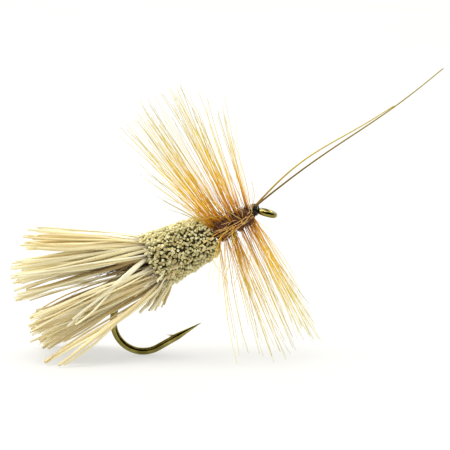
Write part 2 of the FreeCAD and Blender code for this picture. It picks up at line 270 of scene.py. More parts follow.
def across(points, reference):
    """Unit tangents of a path, and two unit vectors across it."""
    tangents = np.gradient(points, axis=0)
    tangents /= np.linalg.norm(tangents, axis=1)[:, None]
    if reference is None:
        reference = np.eye(3)[np.argmin(np.abs(tangents.mean(axis=0)))]
    sides = np.cross(tangents, reference)
    sides /= np.linalg.norm(sides, axis=1)[:, None]
    return tangents, sides, np.cross(sides, tangents)


def strand_rings(piece, corners):
    """The rings of a strand's vertices, and each ring's share of the length."""
    points = piece["points"]
    radii = piece["radii"]
    tangents, sides, ups = across(points, piece["reference"])
    shares = np.linspace(0, 1, len(points))
    for scale, step in piece["end"]:
        points = np.vstack([points, piece["points"][-1] + tangents[-1] * step * piece["radii"][-1]])
        radii = np.append(radii, piece["radii"][-1] * scale)
        sides = np.vstack([sides, sides[-1]])
        ups = np.vstack([ups, ups[-1]])
        shares = np.append(shares, 1.0 if step > 0 else 0.90)
    turns = np.linspace(0, 2 * math.pi, corners, endpoint=False)
    wide = np.cos(turns)[None, :, None]
    thin = np.sin(turns)[None, :, None] * piece["flatness"]
    cosine, sine = math.cos(piece["roll"]), math.sin(piece["roll"])
    first = sides * cosine + ups * sine
    second = ups * cosine - sides * sine
    ring = wide * first[:, None, :] + thin * second[:, None, :]
    return points[:, None, :] + radii[:, None, None] * ring, shares


def add_strands(vertices, faces, values, strands, corners):
    """Appends the strands' tubes to lists of vertices, faces and (tint, along, around) values."""
    for piece in strands:
        rings, shares = strand_rings(piece, corners)
        start = len(vertices)
        vertices.extend(map(tuple, rings.reshape(-1, 3)))
        for share in shares:
            values.extend((piece["tint"], share, corner / corners) for corner in range(corners))
        for ring in range(len(rings) - 1):
            base = start + ring * corners
            for corner in range(corners):
                following = (corner + 1) % corners
                faces.append(
                    (base + corner, base + following, base + corners + following, base + corners + corner)
                )
        last = start + (len(rings) - 1) * corners
        faces.append(tuple(range(start + corners - 1, start - 1, -1)))
        faces.append(tuple(range(last, last + corners)))


def mesh_piece(name, vertices, faces, values, material, body):
    """A shown piece on a body, with its strand values kept for its material."""
    mesh = bpy.data.meshes.new(name)
    mesh.from_pydata(vertices, [], faces)
    for index, key in enumerate(("tint", "along", "around")):
        layer = mesh.attributes.new(key, "FLOAT", "POINT")
        layer.data.foreach_set("value", [value[index] for value in values])
    mesh.shade_smooth()
    mesh.set_sharp_from_angle(angle=math.radians(SHARP_EDGE))
    mesh.materials.append(material)
    piece = bpy.data.objects.new(name, mesh)
    bpy.context.scene.collection.objects.link(piece)
    if body:
        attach(piece, body)
    return piece


def strands_piece(name, strands, corners, material):
    """A shown piece on the main body that is strands and nothing else."""
    vertices, faces, values = [], [], []
    add_strands(vertices, faces, values, strands, corners)
    return mesh_piece(name, vertices, faces, values, material, "root")


def add_turned(vertices, faces, values, axis, outline, corners, lumps, rng):
    """Appends a closed lumpy skin about an axis through (distance behind, radius) points."""
    start = len(vertices)
    for behind, radius in outline:
        for corner in range(corners):
            angle = 360 * corner / corners
            lump = 1 + lumps * rng.uniform(-1, 1)
            vertices.append(tuple(on_line(axis, behind, radius * lump, angle)))
            values.append((0.5, 0.0, corner / corners))
    for ring in range(len(outline) - 1):
        base = start + ring * corners
        for corner in range(corners):
            following = (corner + 1) % corners
            faces.append(
                (base + following, base + corner, base + corners + corner, base + corners + following)
            )
    last = start + (len(outline) - 1) * corners
    faces.append(tuple(range(start, start + corners)))
    faces.append(tuple(range(last + corners - 1, last - 1, -1)))


def curve_points(start, leaving, end, arriving, count, sway, rng, grip=0.36):
    """A smooth path between two points with given directions, with a small seeded wave."""
    span = np.linalg.norm(end - start)
    shares = np.linspace(0, 1, count)[:, None]
    first = start + leaving * span * grip
    second = end - arriving * span * 0.34
    rest = 1 - shares
    path = rest**3 * start + 3 * rest**2 * shares * first
    path = path + 3 * rest * shares**2 * second + shares**3 * end
    for cycles in (1, 2, 3):
        path = path + np.sin(math.pi * cycles * shares) * scatter(sway / cycles, rng)
    return path


def above_floor(path, room=FLOOR_ROOM):
    """The path with nothing below the floor."""
    path[:, 2] = np.maximum(path[:, 2], room)
    return path


# ---------------------------------------- materials


class Shader:
    """A node material with one principled shader and short names for what hangs off it."""

    def __init__(self, name):
        self.material = bpy.data.materials.new(name)
        self.material.use_nodes = True
        self.tree = self.material.node_tree
        self.main = self.tree.nodes["Principled BSDF"]

    def node(self, kind, **settings):
        made = self.tree.nodes.new(kind)
        for key, value in settings.items():
            setattr(made, key, value)
        return made

    def link(self, output, target):
        self.tree.links.new(output, target)

    def set(self, **values):
        for key, value in values.items():
            self.main.inputs[key.replace("_", " ")].default_value = value

    def value(self, key):
        """One of the values that the strands carry."""
        return self.node("ShaderNodeAttribute", attribute_name=key).outputs["Fac"]

    def ramp(self, source, stops):
        """Colours by a value: stops are (place, colour)."""
        made = self.node("ShaderNodeValToRGB")
        stock = made.color_ramp.elements
        while len(stock) < len(stops):
            stock.new(1.0)
        for element, (place, colour) in zip(stock, stops):
            element.position = place
            element.color = (*colour, 1.0)
        self.link(source, made.inputs["Fac"])
        return made.outputs["Color"]

    def mixed(self, factor, first, second, mode="MIX"):
        """Two colours, mixed by a socket or a fixed share."""
        made = self.node("ShaderNodeMix", data_type="RGBA", blend_type=mode)
        if isinstance(factor, float):
            made.inputs["Factor"].default_value = factor
        else:
            self.link(factor, made.inputs["Factor"])
        for socket, value in ((made.inputs["A"], first), (made.inputs["B"], second)):
            if isinstance(value, tuple):
                socket.default_value = (*value, 1.0)
            else:
                self.link(value, socket)
        return made.outputs["Result"]

    def noise(self, scale, detail=3.0, vector=None, stretch=None):
        """Noise over the object in metres, or over a vector socket."""
        made = self.node("ShaderNodeTexNoise")
        made.inputs["Scale"].default_value = scale
        made.inputs["Detail"].default_value = detail
        if vector is None:
            vector = self.node("ShaderNodeTexCoord").outputs["Object"]
        if stretch:
            mapping = self.node("ShaderNodeMapping")
            mapping.inputs["Scale"].default_value = stretch
            self.link(vector, mapping.inputs["Vector"])
            vector = mapping.outputs["Vector"]
        self.link(vector, made.inputs["Vector"])
        return made.outputs["Fac"]

    def strand_noise(self, around, along, detail=3.0):
        """Noise that runs along each strand and differs from strand to strand."""
        made = self.node("ShaderNodeCombineXYZ")
        self.link(self.value("around"), made.inputs["X"])
        self.link(self.value("along"), made.inputs["Y"])
        self.link(self.value("tint"), made.inputs["Z"])
        return self.noise(1.0, detail, made.outputs["Vector"], (around, along, 83.0))

    def bump(self, height, distance, strength=1.0):
        made = self.node("ShaderNodeBump")
        made.inputs["Distance"].default_value = distance
        made.inputs["Strength"].default_value = strength
        self.link(height, made.inputs["Height"])
        self.link(made.outputs["Normal"], self.main.inputs["Normal"])

    def paint(self, colour):
        self.link(colour, self.main.inputs["Base Color"])

    def roughen(self, source, low, high):
        made = self.node("ShaderNodeMapRange")
        made.inputs["To Min"].default_value = low
        made.inputs["To Max"].default_value = high
        self.link(source, made.inputs["Value"])
        self.link(made.outputs["Result"], self.main.inputs["Roughness"])


def deer_hair(name, tones, root, root_share, roughness):
    """Hollow deer hair: straw tones by hair, darker at the root, with fine lengthwise streaks."""
    shader = Shader(name)
    by_hair = shader.ramp(shader.value("tint"), tones)
    streaks = shader.strand_noise(5.0, 3.0)
    light = shader.ramp(streaks, [(0.30, (0.72, 0.70, 0.66)), (0.62, (1.0, 1.0, 1.0))])
    streaked = shader.mixed(0.8, by_hair, light, "MULTIPLY")
    root_mask = shader.ramp(
        shader.value("along"),
        [(0.0, (1.0,) * 3), (root_share, (0.25,) * 3), (2.2 * root_share, (0.0,) * 3)],
    )
    shader.paint(shader.mixed(root_mask, streaked, root))
    shader.roughen(streaks, roughness - 0.08, roughness + 0.12)
    shader.bump(shader.strand_noise(9.0, 14.0), 0.015 * MM, 0.5)
    shader.set(Sheen_Weight=0.15, Specular_IOR_Level=0.35)
    return shader.material


def clipped_hair():
    """Cut ends: pale rims round a darker hollow, on olive-grey sides that are painted darker towards the
    root as the shade down among the ends.
    """
    shader = Shader("deer_hair_clipped")
    tint = shader.value("tint")
    along = shader.value("along")
    rims = shader.ramp(
        tint,
        [
            (0.0, (0.46, 0.38, 0.16)),
            (0.35, (0.66, 0.58, 0.28)),
            (0.75, (0.82, 0.76, 0.44)),
            (1.0, (0.96, 0.92, 0.66)),
        ],
    )
    # Painted shade: the dark sides stand in for the shade down between the cut ends
    sides = shader.ramp(
        tint, [(0.0, (0.06, 0.045, 0.015)), (0.6, (0.15, 0.12, 0.045)), (1.0, (0.40, 0.34, 0.16))]
    )
    # Painted shade: from the pale cut end down to the dark side at the root, which lies deep among the
    # other ends
    painted_shade_mask = shader.ramp(along, [(0.30, (0.0,) * 3), (0.62, (0.55,) * 3), (0.92, (1.0,) * 3)])
    patches = shader.noise(900.0, 2.0)
    warm = shader.ramp(patches, [(0.35, (0.86, 0.86, 0.80)), (0.65, (1.0, 0.98, 0.93))])
    ends = shader.mixed(1.0, rims, warm, "MULTIPLY")
    shader.paint(shader.mixed(painted_shade_mask, sides, ends))
    shader.roughen(shader.strand_noise(6.0, 4.0), 0.5, 0.8)
    shader.bump(shader.noise(26000.0, 3.0), 0.02 * MM, 0.6)
    shader.set(Specular_IOR_Level=0.3)
    return shader.material


def painted_shade_core():
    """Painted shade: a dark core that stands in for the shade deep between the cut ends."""
    shader = Shader("painted_shade_core")
    grain = shader.noise(9000.0, 4.0)
    shader.paint(shader.ramp(grain, [(0.3, (0.03, 0.025, 0.012)), (0.7, (0.12, 0.09, 0.045))]))
    shader.bump(grain, 0.05 * MM)
    shader.set(Roughness=0.9)
    return shader.material


def hackle_fibre():
    """Ginger fibre: red-brown at the stem, golden in its middle and pale at its tip."""
    shader = Shader("hackle_ginger")
    run = shader.ramp(
        shader.value("along"),
        [
            (0.0, (0.30, 0.10, 0.008)),
            (0.08, (0.72, 0.34, 0.008)),
            (0.35, (0.90, 0.57, 0.015)),
            (0.70, (0.82, 0.64, 0.06)),
            (1.0, (0.70, 0.62, 0.20)),
        ],
    )
    tones = shader.ramp(
        shader.value("tint"),
        [(0.0, (0.44, 0.37, 0.16)), (0.35, (0.92, 0.88, 0.68)), (1.0, (1.0, 1.0, 0.90))],
    )
    shader.paint(shader.mixed(0.75, run, tones, "MULTIPLY"))
    shader.roughen(shader.strand_noise(3.0, 30.0), 0.28, 0.5)
    shader.set(Specular_IOR_Level=0.6)
    return shader.material


def quill(name, root, middle, tip):
    """A stripped quill, darker at its root, with faint bands."""
    shader = Shader(name)
    run = shader.ramp(shader.value("along"), [(0.0, root), (0.35, middle), (1.0, tip)])
    bands = shader.strand_noise(1.5, 60.0)
    light = shader.ramp(bands, [(0.35, (0.80, 0.76, 0.70)), (0.6, (1.0, 1.0, 1.0))])
    shader.paint(shader.mixed(0.7, run, light, "MULTIPLY"))
    shader.roughen(bands, 0.22, 0.40)
    shader.bump(bands, 0.006 * MM, 0.5)
    shader.set(Specular_IOR_Level=0.25)
    return shader.material


def stem_quill():
    """The wound stems: very dark red-brown, with paler nicks where fibres leave."""
    shader = Shader("hackle_quill")
    nicks = shader.noise(11000.0, 4.0)
    tones = [(0.38, (0.045, 0.014, 0.006)), (0.60, (0.17, 0.06, 0.02)), (0.74, (0.50, 0.26, 0.10))]
    shader.paint(shader.ramp(nicks, tones))
    shader.roughen(nicks, 0.35, 0.6)
    shader.bump(nicks, 0.02 * MM)
    return shader.material


def thorax_fur():
    """Dark brown dubbing."""
    shader = Shader("thorax_wool")
    grain = shader.noise(14000.0, 4.0)
    shader.paint(shader.ramp(grain, [(0.35, (0.02, 0.008, 0.003)), (0.7, (0.15, 0.06, 0.018))]))
    shader.bump(grain, 0.03 * MM)
    shader.set(Roughness=0.85)
    return shader.material


def trapped_fibre():
    """Pinkish-tan fibres caught across the thorax."""
    shader = Shader("trapped_fibre")
    streaks = shader.strand_noise(2.0, 9.0)
    shader.paint(shader.ramp(streaks, [(0.3, (0.56, 0.27, 0.05)), (0.7, (0.92, 0.60, 0.22))]))
    shader.roughen(streaks, 0.35, 0.55)
    return shader.material


def underfur():
    """The deer's fine grey-brown underfur."""
    shader = Shader("underfur")
    streaks = shader.strand_noise(2.0, 9.0)
    shader.paint(shader.ramp(streaks, [(0.3, (0.10, 0.07, 0.05)), (0.7, (0.26, 0.20, 0.14))]))
    shader.set(Roughness=0.6)
    return shader.material


def black_thread():
    """Waxed black thread with its twist."""
    shader = Shader("tying_thread")
    twist = shader.strand_noise(4.0, 400.0, 2.0)
    shader.paint(shader.ramp(twist, [(0.3, (0.004, 0.004, 0.004)), (0.75, (0.024, 0.023, 0.02))]))
    shader.roughen(twist, 0.25, 0.5)
    shader.bump(twist, 0.008 * MM)
    shader.set(Specular_IOR_Level=0.25)
    return shader.material


def varnish():
    """Clear varnish that has run over the head's turns."""
    shader = Shader("head_lacquer")
    flow = shader.noise(2600.0, 2.0)
    shader.paint(shader.ramp(flow, [(0.3, (0.010, 0.012, 0.014)), (0.8, (0.035, 0.038, 0.042))]))
    shader.roughen(flow, 0.06, 0.16)
    shader.bump(flow, 0.03 * MM, 0.6)
    shader.set(Alpha=0.2, Specular_IOR_Level=0.3, Coat_Weight=0.25, Coat_Roughness=0.05)
    return shader.material


def bronze():
    """Bronzed hook wire: olive-brown metal with drawing marks and faint patches."""
    shader = Shader("hook_bronze")
    patches = shader.noise(1100.0, 3.0)
    drawing = shader.noise(5200.0, stretch=(1.0, 6.0, 1.0))
    tone = shader.ramp(
        patches, [(0.30, (0.19, 0.155, 0.035)), (0.55, (0.30, 0.255, 0.065)), (0.80, (0.46, 0.40, 0.12))]
    )
    marks = shader.ramp(drawing, [(0.35, (0.74, 0.72, 0.68)), (0.65, (1.0, 1.0, 1.0))])
    shader.paint(shader.mixed(0.7, tone, marks, "MULTIPLY"))
    shader.roughen(drawing, 0.07, 0.13)
    shader.bump(drawing, 0.006 * MM, 0.4)
    shader.set(Metallic=1.0)
    return shader.material


# ---------------------------------------- clipped body


def body_span():
    """Start, end and end radii of the whole clipped body, along its own axis."""
    first = profile("body_bunch_1", BODY_LINE)
    last = profile(f"body_bunch_{len(STUBS_PER_BUNCH)}", BODY_LINE)
    return first[0], last[1], first[2], last[3]


BODY_START, BODY_END, BODY_FRONT_R, BODY_REAR_R = body_span()


def body_share(behind):
    """From 0 at the clipped body's front to 1 at its rear."""
    return min(max((behind - BODY_START) / (BODY_END - BODY_START), 0.0), 1.0)


def body_radius(behind):
    """The clipped surface: wider to the rear, with its front edge rounded off."""
    share = body_share(behind)
    shoulder = SHOULDER * max(0.0, 1 - share / SHOULDER_SHARE) ** 2
    return mix(BODY_FRONT_R, BODY_REAR_R, share) - shoulder


def on_body(behind, depth, angle):
    """A point this deep under the clipped surface."""
    return on_line(BODY_LINE, behind, body_radius(behind) - depth, angle)


def under_share(angle):
    """From 0 on top of the body to 1 underneath."""
    return (1 - math.cos(math.radians(angle))) / 2


def stub(behind, angle, rng):
    """One cut hair end: it stands out from the shank, and leans back towards the rear."""
    share = body_share(behind)
    under = under_share(angle)
    degrees = mix(*STUB_LEAN, share**1.5) + STUB_LEAN_UNDER * under**1.5 * share + rng.gauss(0, 7)
    lean = math.radians(degrees)
    out = outward(angle + rng.gauss(0, 5), BODY_LINE[2])
    direction = unit(out * math.cos(lean) - BODY_LINE[1] * math.sin(lean))
    end = on_body(behind, rng.gauss(0, 1) * STUB_JITTER, angle)
    root = end - direction * STUB_DEPTH
    radius = STUB_R * rng.uniform(0.78, 1.22)
    middle = (root * 0.45 + end * 0.55) + scatter(0.03, rng) * MM
    neck = end - direction * 0.10 * MM
    # Painted light: ends on top of the body and under it are paler, and those at its sides darker, as the
    # light falls
    painted_rim_light = math.cos(math.radians(angle)) ** 2
    return strand(
        [root, middle, neck, end],
        [radius * 0.6, radius * 0.85, radius * rng.uniform(0.85, 1.0), radius],
        mix(rng.random(), 1.0, 0.6 * painted_rim_light),
        rng.uniform(0.65, 1.0),
        rng.uniform(0, math.pi),
        CUT_END,
    )


def bunch_stubs(start, end, count, rng):
    """The cut ends of one bunch, from its front to its rear."""
    stubs = []
    for number in range(count):
        behind = mix(start, end, (number + rng.uniform(0.2, 0.8)) / count)
        angle = (number * STUB_TURN + rng.gauss(0, 4.0)) % 360
        stubs.append(stub(behind, angle, rng))
    return stubs


def bunch_core(name, start, end, core, rng):
    """A dark core inside one bunch, under its cut ends, painted as the shade there."""
    outline = [(start, CORE_END_R)]
    for share in np.linspace(0, 1, 5):
        behind = mix(start, end, share)
        outline.append((behind, body_radius(behind) - CORE_DEPTH))
    outline.append((end, CORE_END_R))
    vertices, faces, values = [], [], []
    add_turned(vertices, faces, values, BODY_LINE, outline, CORE_CORNERS, 0.05, rng)
    mesh_piece(name, vertices, faces, values, core, "root")


def make_body(hair, core):
    """Each bunch: a dark core, painted shade, bristling with cut ends."""
    for number, count in enumerate(STUBS_PER_BUNCH, 1):
        rng = random.Random(99 + number)
        start, end, _, _ = profile(f"body_bunch_{number}", BODY_LINE)
        stubs = bunch_stubs(start, end, count, rng)
        piece = strands_piece(f"clipped_bunch_{number}", stubs, HAIR_CORNERS, hair)
        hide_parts(f"body_bunch_{number}")
        bunch_core(f"bunch_core_{number}", start, end, core, rng)


# ---------------------------------------- hair fan

# Ranges of tint, from the dark inner hair, painted partly as the shade inside the fan, to the sunlit
# straw
DARK_HAIR_AND_SHADE = (0.04, 0.16)
STRAW = (0.18, 0.92)
WARM = (0.30, 0.95)
PALE = (0.70, 1.0)
# Each clump: CAD tier and number of hairs, then ranges in mm of the ends' X, of the height at which
# the camera sees them against the plane Y = 0, of their Y, and of the roots' height above the
# body's axis and their Y, and last a tone.
CLUMPS = (
    ("top", 9, (-17.2, -16.2), (10.6, 11.2), (-3.4, 3.4), (1.7, 2.3), (-1.4, 1.4), PALE),
    ("top", 34, (-17.8, -15.8), (9.1, 10.5), (-4.2, 4.2), (1.0, 2.0), (-2.0, 2.0), STRAW),
    ("upper", 54, (-18.7, -17.5), (6.2, 8.3), (-4.6, 4.6), (0.6, 1.6), (-2.3, 2.3), WARM),
    ("middle", 14, (-18.6, -16.8), (4.6, 5.9), (-3.0, 3.6), (-0.2, 0.6), (-1.3, 2.3), STRAW),
    # Dark hairs inside the fan: partly its real dark underfur and hair butts, partly painted shade where
    # the fan opens
    ("middle", 34, (-12.0, -9.2), (6.8, 8.2), (-2.6, 2.0), (-0.6, 0.9), (-1.9, 1.4), DARK_HAIR_AND_SHADE),
    ("middle", 34, (-17.2, -16.1), (2.0, 3.9), (-4.8, 4.8), (-1.4, -0.5), (-2.4, 2.4), STRAW),
    ("middle", 15, (-17.0, -15.4), (1.0, 3.4), (-5.2, -3.6), (-1.3, 0.2), (-2.5, -2.0), STRAW),
    ("middle", 15, (-17.0, -15.4), (1.0, 3.4), (3.6, 5.2), (-1.3, 0.2), (2.0, 2.5), STRAW),
    ("lower", 34, (-16.3, -15.1), (0.5, 2.2), (-5.2, 5.2), (-1.9, -0.8), (-2.3, 2.3), STRAW),
    ("lower", 4, (-14.0, -12.9), (2.5, 3.2), (-4.9, -4.3), (0.7, 1.1), (-2.3, -2.1), PALE),
    ("lower", 4, (-14.0, -12.9), (2.5, 3.2), (4.3, 4.9), (0.7, 1.1), (2.1, 2.3), PALE),
    ("bottom", 5, (-16.1, -15.1), (-0.7, -0.3), (-6.0, -4.8), (-1.9, -1.4), (-1.8, -1.3), STRAW),
    ("bottom", 4, (-14.7, -13.7), (-1.2, -0.8), (-7.4, -6.8), (-1.8, -1.4), (-1.9, -1.5), STRAW),
    ("bottom", 10, (-16.1, -13.7), (0.9, 1.4), (4.8, 7.2), (-1.8, -1.2), (1.4, 2.0), STRAW),
)
ROOT_DEPTH = (0.1 * MM, 0.9 * MM)  # how far in front of the body's rear face the hairs start
WIRE_ROOM = 0.5 * MM  # hairs under the shank pass the bend at least this far to a side
EYE_LINE = math.tan(math.radians(CAMERA_ELEVATION))


def fan_hair(clump, share, rng):
    """One uncut hair of a clump, from the body's rear to its cut end."""
    tier, _, end_x, end_z, end_y, root_up, root_side, tone = clump
    y = mix(*end_y, share) * MM + rng.gauss(0, 0.15) * MM
    x = mix(*end_x, rng.random()) * MM
    z = mix(*end_z, rng.random()) * MM - y * EYE_LINE
    end = np.array((x, y, max(z, 1.5 * HAIR_R)))
    up = mix(*root_up, rng.random()) * MM
    side = mix(*root_side, share) * MM + rng.gauss(0, 0.15) * MM
    if up < 2 * WIRE_ROOM and abs(side) < WIRE_ROOM:
        side = math.copysign(WIRE_ROOM, side)
    behind = BODY_END - mix(*ROOT_DEPTH, rng.random())
    radius = min(math.hypot(up, side), body_radius(behind) - 0.02 * MM)
    angle = math.degrees(math.atan2(side, up))
    root = on_line(BODY_LINE, behind, radius, angle)
    chord = unit(end - root)
    flare = (0.42 if tier == "bottom" else 0.22) * radius / BODY_REAR_R
    leaving = unit(chord + flare * outward(angle, BODY_LINE[2]) - 0.15 * BODY_LINE[1])
    arriving = unit(chord + scatter(0.05, rng))
    path = curve_points(root, leaving, end, arriving, HAIR_RINGS, 0.12 * MM, rng, 0.25)
    shares = np.linspace(0, 1, HAIR_RINGS)
    radius = HAIR_R * rng.choice((0.62, 0.8, 0.95, 1.1, 1.25))
    taper = 0.75 if tone is DARK_HAIR_AND_SHADE else 0.28
    radii = radius * (0.66 + 0.34 * np.minimum(shares / 0.2, 1)) * (1 - taper * shares**3)
    path = above_floor(path, HAIR_R)
    tint = mix(*tone, rng.random())
    return strand(path, radii, tint, rng.uniform(0.55, 0.9), rng.uniform(0, math.pi), CUT_END)


def flared_hair(behind, angle, length, lean, rng):
    """A short hair that the scissors left standing at the body's rear."""
    root = on_body(behind, 0.4 * MM, angle)
    tilt = math.radians(lean + rng.gauss(0, 6))
    out = outward(angle + rng.gauss(0, 6), BODY_LINE[2])
    direction = unit(out * math.cos(tilt) - BODY_LINE[1] * math.sin(tilt))
    leaving = unit(direction + 0.35 * out)
    end = root + direction * length
    path = curve_points(root, leaving, end, direction, 9, 0.05 * MM, rng)
    radius = HAIR_R * rng.uniform(0.65, 1.0)
    radii = np.linspace(radius * 0.8, radius, 9)
    tint = mix(*STRAW, rng.random())
    return strand(path, radii, tint, rng.uniform(0.55, 0.9), rng.uniform(0, math.pi), CUT_END)


def rim_hairs_above(rng):
    """Short hairs that stand off the top of the body's rear edge."""
    hairs = []
    for _ in range(RIM_ABOVE):
        lean = rng.uniform(64, 80)
        behind = BODY_END - rng.uniform(0.0, 0.7) * MM
        angle = rng.uniform(-50, 50)
        length = rng.uniform(1.2, 2.9) * MM
        hairs.append(flared_hair(behind, angle, length, lean, rng))
    return hairs


def rim_hairs_below(rng):
    """Short hairs under the body's rear, and a tuft of the longest at its edge."""
    hairs = []
    for _ in range(RIM_BELOW):
        forward = rng.random() ** 2
        behind = BODY_END - forward * 2.6 * MM
        length = mix(2.6, 0.9, forward) * rng.uniform(0.6, 1.0) * MM
        lean = mix(62, 48, forward) + rng.uniform(-10, 12)
        hairs.append(flared_hair(behind, rng.uniform(105, 255), length, lean, rng))
    for angle in TUFT_ANGLES:
        behind = BODY_END - rng.uniform(0.3, 1.5) * MM
        length = rng.uniform(2.4, 3.3) * MM
        hairs.append(flared_hair(behind, angle, length, rng.uniform(50, 62), rng))
    return hairs


def make_fan(hair):
    """The uncut hair, one piece for each height, as the CAD nodes are."""
    rng = random.Random(7)
    by_tier = {tier: [] for tier in ("top", "upper", "middle", "lower", "bottom")}
    for clump in CLUMPS:
        tier, count = clump[:2]
        for number in range(count):
            share = (number + rng.random()) / count
            by_tier[tier].append(fan_hair(clump, share, rng))
    by_tier["top"] += rim_hairs_above(rng)
    by_tier["bottom"] += rim_hairs_below(rng)
    for tier, hairs in by_tier.items():
        piece = strands_piece(f"fan_{tier}", hairs, HAIR_CORNERS, hair)
        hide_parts(f"tail_hair_{tier}")


def make_underfur(fur):
    """A few fine dark hairs astray in the fan."""
    rng = random.Random(19)
    wisps = []
    for _ in range(WISPS):
        root = on_body(BODY_END, rng.uniform(0.3, 2.0) * MM, rng.uniform(0, 360))
        end = root - SHANK * rng.uniform(5, 8.5) * MM
        end = end + scatter(1.5, rng) * MM + SHANK_UP * MM
        path = curve_points(root, -SHANK, end, unit(end - root), WISP_RINGS, 0.35 * MM, rng)
        radii = np.linspace(0.028, 0.010, WISP_RINGS) * MM
        wisps.append(strand(above_floor(path), radii, rng.random()))
    strands_piece("underfur_wisps", wisps, FIBRE_CORNERS, fur)


# ---------------------------------------- hackle and head


def feather_radius(behind, start, end, front_r, rear_r):
    """The wound stem's outer radius."""
    return mix(front_r, rear_r, (behind - start) / (end - start))


def barb_angle(thin_below, rng):
    """Fibres crowd above and below the shank, and are sparse at its sides."""
    while True:
        angle = rng.uniform(-180, 180)
        crowd = mix(SIDE_CROWD, 1.0, math.cos(math.radians(angle)) ** 2)
        if rng.random() < crowd * (1 - thin_below * under_share(angle)):
            return angle


def barb_lean(feather, share, upward):
    """How far a fibre leans forward, by its turn and by how far up it points."""
    return mix(mix(*LEAN_BELOW[feather], share), mix(*LEAN_ABOVE[feather], share), upward)


def barb(feather, stem, share, angle, rng):
    """One hackle fibre: nearly straight, fine at its tip, with a slight bow."""
    start, end, front_r, rear_r = stem
    first = start - (COLLAR if feather == "front" else 0.0)
    behind = mix(first, end, share)
    upward = 1 - under_share(angle)
    radius = feather_radius(max(behind, start), start, end, front_r, rear_r) - BARB_ROOT_DEPTH
    root = on_shank(behind, radius - 0.8 * max(start - behind, 0.0), angle)
    lean = math.radians(barb_lean(feather, share, upward) + rng.gauss(0, 2.2))
    direction = unit(outward(angle) * math.cos(lean) + SHANK * math.sin(lean))
    front_share = 1 - share if feather == "front" else 0.0
    reach = mix(BARB_REACH_DOWN, BARB_REACH_UP * (1 - FRONT_SHORTER * front_share), upward)
    length = reach * rng.choice((*BARB_LENGTHS, rng.uniform(0.45, 0.8)))
    if direction[2] < 0:
        length = min(length, (root[2] - FLOOR_ROOM) / -direction[2])
    bow = rng.gauss(0, 0.05)
    leaving = unit(direction + SHANK * bow + SIDE * rng.gauss(0, 0.03))
    arriving = unit(direction - SHANK * bow)
    tip = root + direction * length
    path = above_floor(curve_points(root, leaving, tip, arriving, BARB_RINGS, 0.05 * MM, rng))
    shares = np.linspace(0, 1, BARB_RINGS)
    radii = mix(BARB_R, BARB_TIP_R, shares**0.85) * rng.uniform(0.75, 1.15)
    return strand(path, radii, rng.random(), rng.uniform(0.6, 1.0), rng.uniform(0, math.pi))


def barb_group(feather, stem, share, rng):
    """A few fibres that lie together, as they leave the stem."""
    angle = barb_angle(0.92 * share if feather == "rear" else 0.0, rng)
    group = []
    for _ in range(rng.randint(*BARBS_PER_GROUP)):
        own = min(max(share + rng.gauss(0, 0.05), 0.0), 1.0)
        group.append(barb(feather, stem, own, angle + rng.gauss(0, 8), rng))
    return group


def stray_barb(stem, rng):
    """A fibre knocked across its neighbours."""
    start, end, front_r, _ = stem
    root = on_shank(rng.uniform(start, end), front_r, rng.choice((0, 180)) + rng.uniform(-50, 50))
    out = unit(root - on_shank((EYE_END - root) @ SHANK, 0))
    direction = unit(out + SHANK * rng.uniform(-0.9, -0.3) + SIDE * rng.uniform(-0.4, 0.4))
    tip = root + direction * rng.uniform(3, 7) * MM
    leaving = unit(direction + scatter(0.4, rng))
    path = above_floor(curve_points(root, leaving, tip, direction, BARB_RINGS, 0.15 * MM, rng))
    return strand(path, np.linspace(BARB_R * 0.8, BARB_TIP_R, BARB_RINGS), rng.random())


def coil(axis, start, end, start_r, end_r, turns, thread_r, phase=0.0):
    """One helical strand about an axis."""
    count = int(turns * 26)
    points = []
    for index in range(count + 1):
        share = index / count
        angle = phase + 360 * turns * share
        points.append(on_line(axis, mix(start, end, share), mix(start_r, end_r, share), angle))
    return strand(points, [thread_r] * (count + 1), 0.5, 1.0, 0.0, PLAIN_END, axis[1])


def make_stem(feather, stem_material):
    """A feather's stem, wound in touching turns with the butts of its fibres standing on them."""
    start, end, front_r, rear_r = profile(f"hackle_stem_{feather}")
    rng = random.Random(STEM_SEEDS[feather])
    inset = STEM_R * 0.95
    first, last = start + inset, end - inset
    strands = [
        coil(SHANK_LINE, first, last, front_r, rear_r, STEM_TURNS, STEM_R),
        coil(SHANK_LINE, first, last, front_r - STEM_LAYER, rear_r - STEM_LAYER, STEM_TURNS, STEM_R, 180),
    ]
    for _ in range(STEM_STUBS):
        share = rng.random()
        angle = rng.uniform(0, 360)
        behind = mix(first, last, share)
        root = on_shank(behind, mix(front_r, rear_r, share) - 0.05 * MM, angle)
        lean = rng.uniform(-0.7, 0.7)
        tip = root + unit(outward(angle) + SHANK * lean) * rng.uniform(0.22, 0.42) * MM
        path = np.linspace(root, tip, 4)
        strands.append(strand(path, np.linspace(0.045, 0.02, 4) * MM, rng.random()))
    piece = strands_piece(f"wound_stem_{feather}", strands, STEM_CORNERS, stem_material)
    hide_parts(f"hackle_stem_{feather}")


def make_hackle(fibre):
    """Each feather's fibres: a few strays, then groups from the first turn to the last."""
    for seed, feather in enumerate(("front", "rear")):
        rng = random.Random(40 + seed)
        stem = profile(f"hackle_stem_{feather}")
        fibres = [stray_barb(stem, rng) for _ in range(STRAY_BARBS)]
        for group in range(BARB_GROUPS):
            share = (group + rng.random()) / BARB_GROUPS
            fibres += barb_group(feather, stem, share, rng)
        piece = strands_piece(f"hackle_fibres_{feather}", fibres, FIBRE_CORNERS, fibre)
        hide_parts(f"hackle_barbs_{feather}")


